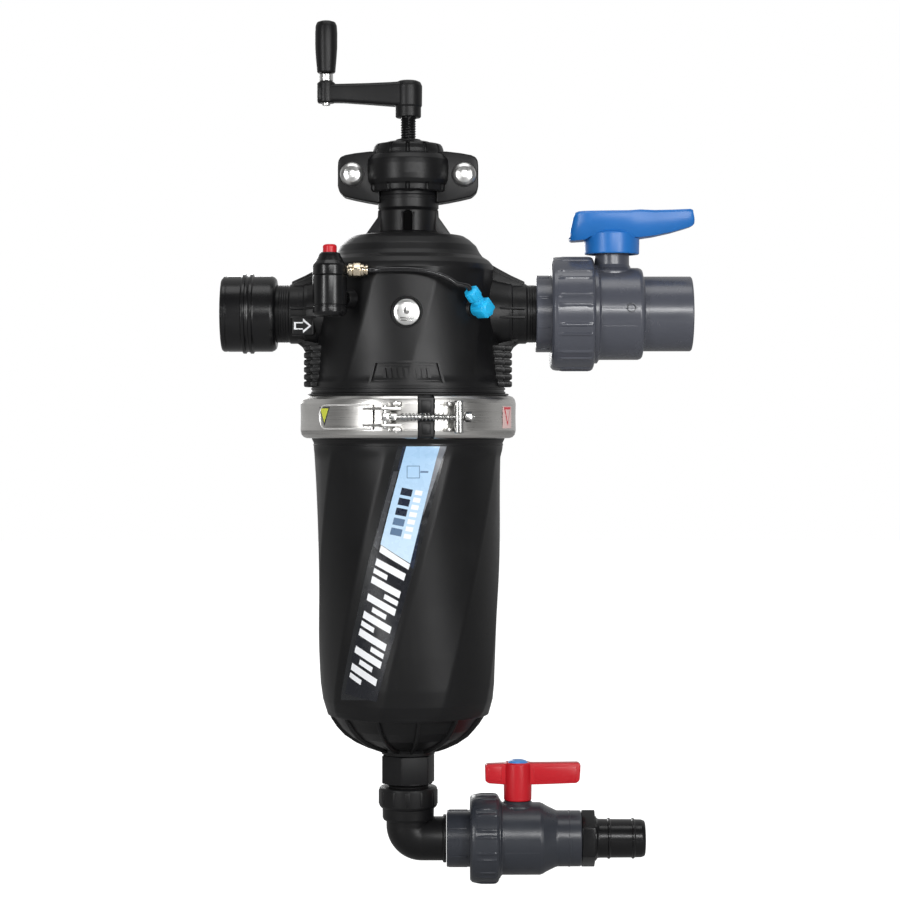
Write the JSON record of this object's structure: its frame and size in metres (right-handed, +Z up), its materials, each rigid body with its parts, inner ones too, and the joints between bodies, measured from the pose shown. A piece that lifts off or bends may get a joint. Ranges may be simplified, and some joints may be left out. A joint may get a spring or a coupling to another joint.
{
  "type": "pressurized pond filter",
  "caption": "Pressurized pond filter: hand-cranked self-cleaning screen in a clamped vessel, with ball valves on outlet and drain.",
  "frame": {"origin": "bottom centre of the whole assembly's bounding box", "axes": "+Z up along the vessel axis, +X from the inlet port towards the outlet port, -Y towards the front with the clamp's latch"},
  "size_m": [0.4848, 0.2494, 0.889],
  "materials": {
    "black_plastic": "satin glass-filled nylon",
    "bright_steel": "bright zinc plate",
    "stainless_band": "polished stainless strip",
    "steel_mesh": "woven stainless mesh",
    "rubber": "matt",
    "brass": "turned",
    "nickel": "nickel plate",
    "red_plastic": "semi-gloss",
    "blue_plastic": "semi-gloss",
    "cyan_plastic": "semi-gloss",
    "grey_pvc": "satin PVC-U",
    "dark_grey_pvc": "satin PVC-U",
    "white_plastic": "satin moulded"
  },
  "bodies": {
    "root": {"head": "black_plastic", "head_badge": "bright_steel", "head_o_ring": "rubber", "bowl": "black_plastic", "drain_sleeve": "black_plastic", "drain_nipple": "black_plastic", "inlet_manifold": "white_plastic", "screen_cage": "white_plastic", "screen_mesh": "steel_mesh", "screen_bottom_cap": "white_plastic", "lead_nut": "brass", "shaft_seal": "rubber", "bonnet": "black_plastic", "coupling_half_front": "black_plastic", "coupling_half_rear": "black_plastic", "coupling_gasket": "rubber", "coupling_bolt_left": "bright_steel", "coupling_bolt_right": "bright_steel", "coupling_nut_left": "bright_steel", "coupling_nut_right": "bright_steel", "indicator_body": "black_plastic", "indicator_cap": "black_plastic", "indicator_fitting": "nickel", "sensing_tube": "black_plastic", "tube_fitting": "cyan_plastic", "tube_fitting_nut": "cyan_plastic", "inlet_adapter": "black_plastic", "outlet_end_connector": "grey_pvc", "outlet_union_nut": "grey_pvc", "outlet_valve_body": "grey_pvc", "drain_elbow": "black_plastic", "drain_end_connector": "dark_grey_pvc", "drain_union_nut": "dark_grey_pvc", "drain_valve_body": "dark_grey_pvc", "drain_hose_tail": "black_plastic", "clamp_hinge_pin": "bright_steel"},
    "guide": {"collector_guide_ring": "white_plastic"},
    "crank": {"crank_arm": "black_plastic", "hub_set_screw": "bright_steel", "grip_spindle": "bright_steel", "drive_shaft": "black_plastic", "collector": "white_plastic"},
    "grip": {"crank_grip": "black_plastic"},
    "button": {"indicator_button": "red_plastic"},
    "outlet_lever": {"outlet_handle": "blue_plastic", "outlet_stem": "grey_pvc", "outlet_ball": "white_plastic"},
    "drain_lever": {"drain_handle": "red_plastic", "drain_handle_cap": "blue_plastic", "drain_stem": "dark_grey_pvc", "drain_ball": "white_plastic"},
    "clamp_left": {"clamp_band_left": "stainless_band"},
    "clamp_right": {"clamp_band_right": "stainless_band"},
    "latch_lever": {"clamp_lever": "stainless_band"},
    "draw_bolt": {"clamp_tbolt": "bright_steel", "clamp_trunnion": "bright_steel", "clamp_nut": "bright_steel", "clamp_spring": "bright_steel"}
  },
  "joints": [
    {"name": "shaft_feed", "type": "slide", "parent": "root", "child": "guide", "axis": [0, 0, 1], "range_m": [-0.0202, 0.0552], "stiffness_N_per_m": 60, "springref_m": 0.0541},
    {"name": "crank_turn", "type": "hinge", "parent": "guide", "child": "crank", "pos_m": [-0.05115, 0.00545, 0.813], "axis": [0, 0, 1], "range_deg": [-720, 1980]},
    {"name": "grip_spin", "type": "hinge", "parent": "crank", "child": "grip", "pos_m": [-0.13565, 0.00545, 0.857], "axis": [0, 0, 1], "continuous": true},
    {"name": "button_travel", "type": "slide", "parent": "root", "child": "button", "axis": [0, 0, 1], "range_m": [-0.006, 0], "stiffness_N_per_m": 250, "springref_m": 0.001},
    {"name": "outlet_lever_turn", "type": "hinge", "parent": "root", "child": "outlet_lever", "pos_m": [0.15845, 0.00545, 0.667], "axis": [0, 0, 1], "range_deg": [-90, 0]},
    {"name": "drain_lever_turn", "type": "hinge", "parent": "root", "child": "drain_lever", "pos_m": [0.06155, 0.00545, 0.107], "axis": [0, 0, 1], "range_deg": [-90, 0]},
    {"name": "clamp_left_open", "type": "hinge", "parent": "root", "child": "clamp_left", "pos_m": [-0.07189, 0.11959, 0.4809], "axis": [0, 0, 1], "range_deg": [-4, 0]},
    {"name": "clamp_right_open", "type": "hinge", "parent": "root", "child": "clamp_right", "pos_m": [-0.07189, 0.11959, 0.4809], "axis": [0, 0, 1], "range_deg": [0, 4]},
    {"name": "clamp_lever_open", "type": "hinge", "parent": "clamp_left", "child": "latch_lever", "pos_m": [-0.06078, -0.11775, 0.4809], "axis": [0, 0, 1], "range_deg": [0, 110]},
    {"name": "draw_bolt_swing", "type": "hinge", "parent": "latch_lever", "child": "draw_bolt", "pos_m": [-0.0716, -0.11972, 0.4809], "axis": [0, 0, 1], "range_deg": [-145, 0]}
  ],
  "couplings": [
    {"joint": "shaft_feed", "follows": "crank_turn", "m_per_rad": 0.0015915},
    {"joint": "clamp_left_open", "follows": "clamp_lever_open", "ratio": -0.035},
    {"joint": "clamp_right_open", "follows": "clamp_lever_open", "ratio": 0.035},
    {"joint": "draw_bolt_swing", "follows": "clamp_lever_open", "ratio": -1.3}
  ]
}
